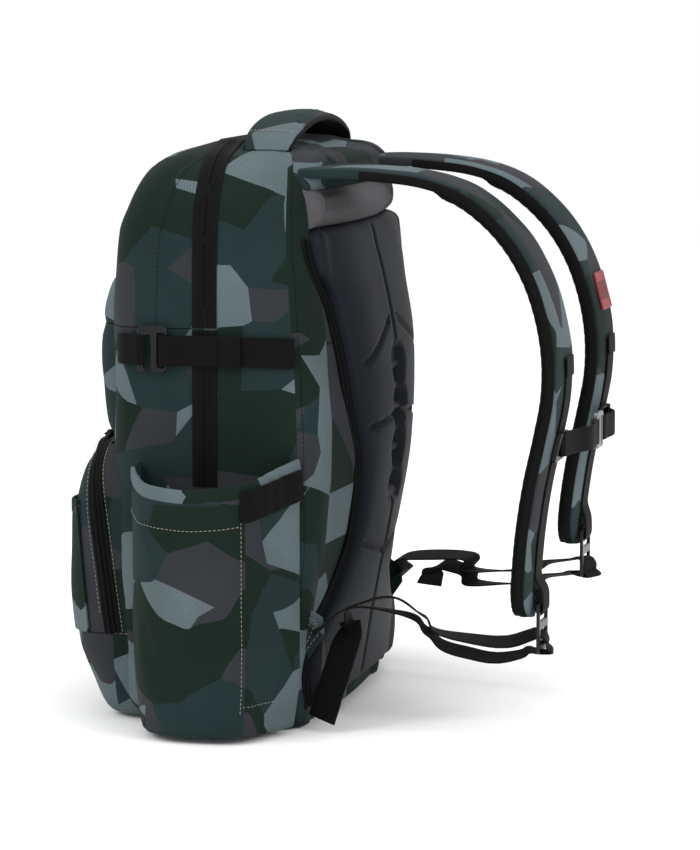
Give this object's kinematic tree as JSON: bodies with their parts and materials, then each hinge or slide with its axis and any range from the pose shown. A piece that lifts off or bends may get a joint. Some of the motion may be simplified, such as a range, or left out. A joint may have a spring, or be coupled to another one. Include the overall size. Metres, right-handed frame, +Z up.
{
  "type": "tackle backpack",
  "caption": "Standing fabric backpack for fishing tackle with a fold-down main flap, zipped front pocket, bottle pockets, moulded back panel and padded shoulder straps",
  "frame": {"origin": "middle of the flat base under the main compartment, on the surface the bag stands on", "axes": "+Z up, +Y from the front pocket towards the wearer's back, +X to the wearer's right"},
  "size_m": [0.4288, 0.4245, 0.4952],
  "materials": {
    "camo_fabric": "coarse woven, matte, printed camouflage",
    "black_webbing": "ribbed woven webbing",
    "zip_tape": "woven zip tape",
    "eva_foam": "knit-faced moulded foam, fine speckled matte",
    "heather_mesh": "brushed heather mesh",
    "spacer_mesh": "embossed spacer mesh",
    "binding_tape": "piped binding tape",
    "lining_fabric": "plain woven lining",
    "black_plastic": "moulded, satin",
    "coated_metal": "black coated, satin",
    "grey_metal": "grey coated, satin",
    "label_rubber": "moulded, matte",
    "stiff_sheet": "plain sheet"
  },
  "bodies": {
    "root": {"main_shell": "camo_fabric", "main_zip_tape_rear": "zip_tape", "base_board": "stiff_sheet", "frame_sheet": "stiff_sheet", "divider_sleeve": "lining_fabric", "back_panel": "eva_foam", "panel_binding": "binding_tape", "upper_back_pad": "heather_mesh", "yoke_pad": "camo_fabric", "haul_handle_pad": "camo_fabric", "haul_handle_lining": "spacer_mesh", "upper_pocket": "camo_fabric", "lower_pocket_gusset": "camo_fabric", "pocket_zip_tape_rear": "zip_tape", "bottle_pocket_right": "camo_fabric", "bottle_pocket_left": "camo_fabric", "pocket_elastic_right": "black_webbing", "pocket_elastic_left": "black_webbing", "compression_webbing_right": "black_webbing", "compression_webbing_left": "black_webbing", "compression_hook_right": "coated_metal", "compression_hook_left": "coated_metal", "anchor_wing_right": "camo_fabric", "anchor_wing_left": "camo_fabric", "adjuster_webbing_right": "black_webbing", "adjuster_webbing_left": "black_webbing", "adjuster_return_right": "black_webbing", "adjuster_return_left": "black_webbing"},
    "main_flap": {"main_flap": "camo_fabric", "main_zip_tape_front": "zip_tape", "upper_pocket_top": "camo_fabric"},
    "pocket_flap": {"lower_pocket_flap": "camo_fabric", "pocket_zip_tape_front": "zip_tape", "slip_pocket": "camo_fabric"},
    "strap_right": {"strap_cover_right": "camo_fabric", "strap_mesh_right": "spacer_mesh", "strap_webbing_right": "black_webbing", "strap_buckle_right": "coated_metal"},
    "strap_left": {"strap_cover_left": "camo_fabric", "strap_mesh_left": "spacer_mesh", "strap_webbing_left": "black_webbing", "strap_buckle_left": "coated_metal", "strap_label": "label_rubber"},
    "sternum_strap": {"sternum_keeper_right": "black_plastic", "sternum_keeper_left": "black_plastic", "sternum_webbing_right": "black_webbing", "sternum_webbing_left": "black_webbing", "sternum_hook": "grey_metal"},
    "main_zip_slider": {"main_zip_slider": "coated_metal"},
    "main_zip_pull": {"main_zip_pull": "black_plastic"},
    "upper_zip_slider": {"upper_zip_slider": "coated_metal"},
    "upper_zip_pull": {"upper_zip_pull": "black_plastic"},
    "pocket_zip_slider": {"pocket_zip_slider": "coated_metal"},
    "pocket_zip_pull": {"pocket_zip_pull": "black_plastic"}
  },
  "joints": [
    {"name": "main_flap_hinge", "type": "hinge", "parent": "root", "child": "main_flap", "pos_m": [0, -0.118, 0.3264], "axis": [1, 0, 0], "range_deg": [0, 80]},
    {"name": "pocket_flap_hinge", "type": "hinge", "parent": "root", "child": "pocket_flap", "pos_m": [0, -0.1462, 0.0724], "axis": [1, 0, 0], "range_deg": [0, 75]},
    {"name": "strap_swing_right", "type": "hinge", "parent": "root", "child": "strap_right", "pos_m": [0.088, 0.074, 0.449], "axis": [1, 0, 0], "range_deg": [-12, 10], "deforming": ["adjuster_webbing_right", "adjuster_return_right"]},
    {"name": "strap_swing_left", "type": "hinge", "parent": "root", "child": "strap_left", "pos_m": [-0.088, 0.074, 0.449], "axis": [1, 0, 0], "range_deg": [-12, 10], "deforming": ["adjuster_webbing_left", "adjuster_return_left"]},
    {"name": "sternum_strap_slide", "type": "slide", "parent": "strap_right", "child": "sternum_strap", "axis": [0, -0.2113, -0.9774], "range_m": [-0.01, 0.01]},
    {"name": "main_zip_slide", "type": "slide", "parent": "root", "child": "main_zip_slider", "axis": [0.04, 0, 0.9992], "range_m": [0, 0.05]},
    {"name": "main_zip_pull_hinge", "type": "hinge", "parent": "main_zip_slider", "child": "main_zip_pull", "pos_m": [-0.1547, -0.0202, 0.34615], "axis": [0, 1, 0], "range_deg": [0, 90]},
    {"name": "upper_zip_slide", "type": "slide", "parent": "root", "child": "upper_zip_slider", "axis": [0, 0, 1], "range_m": [-0.045, 0]},
    {"name": "upper_zip_pull_hinge", "type": "hinge", "parent": "upper_zip_slider", "child": "upper_zip_pull", "pos_m": [-0.1324, -0.1106, 0.312], "axis": [0, 1, 0], "range_deg": [0, 90]},
    {"name": "pocket_zip_slide", "type": "slide", "parent": "pocket_flap", "child": "pocket_zip_slider", "axis": [1, 0, 0], "range_m": [-0.14, 0]},
    {"name": "pocket_zip_pull_hinge", "type": "hinge", "parent": "pocket_zip_slider", "child": "pocket_zip_pull", "pos_m": [0.084, -0.12519, 0.23129], "axis": [0, 0.7071, 0.7071], "range_deg": [0, 90]}
  ],
  "couplings": [
    {"joint": "strap_swing_left", "follows": "strap_swing_right", "ratio": 1}
  ]
}
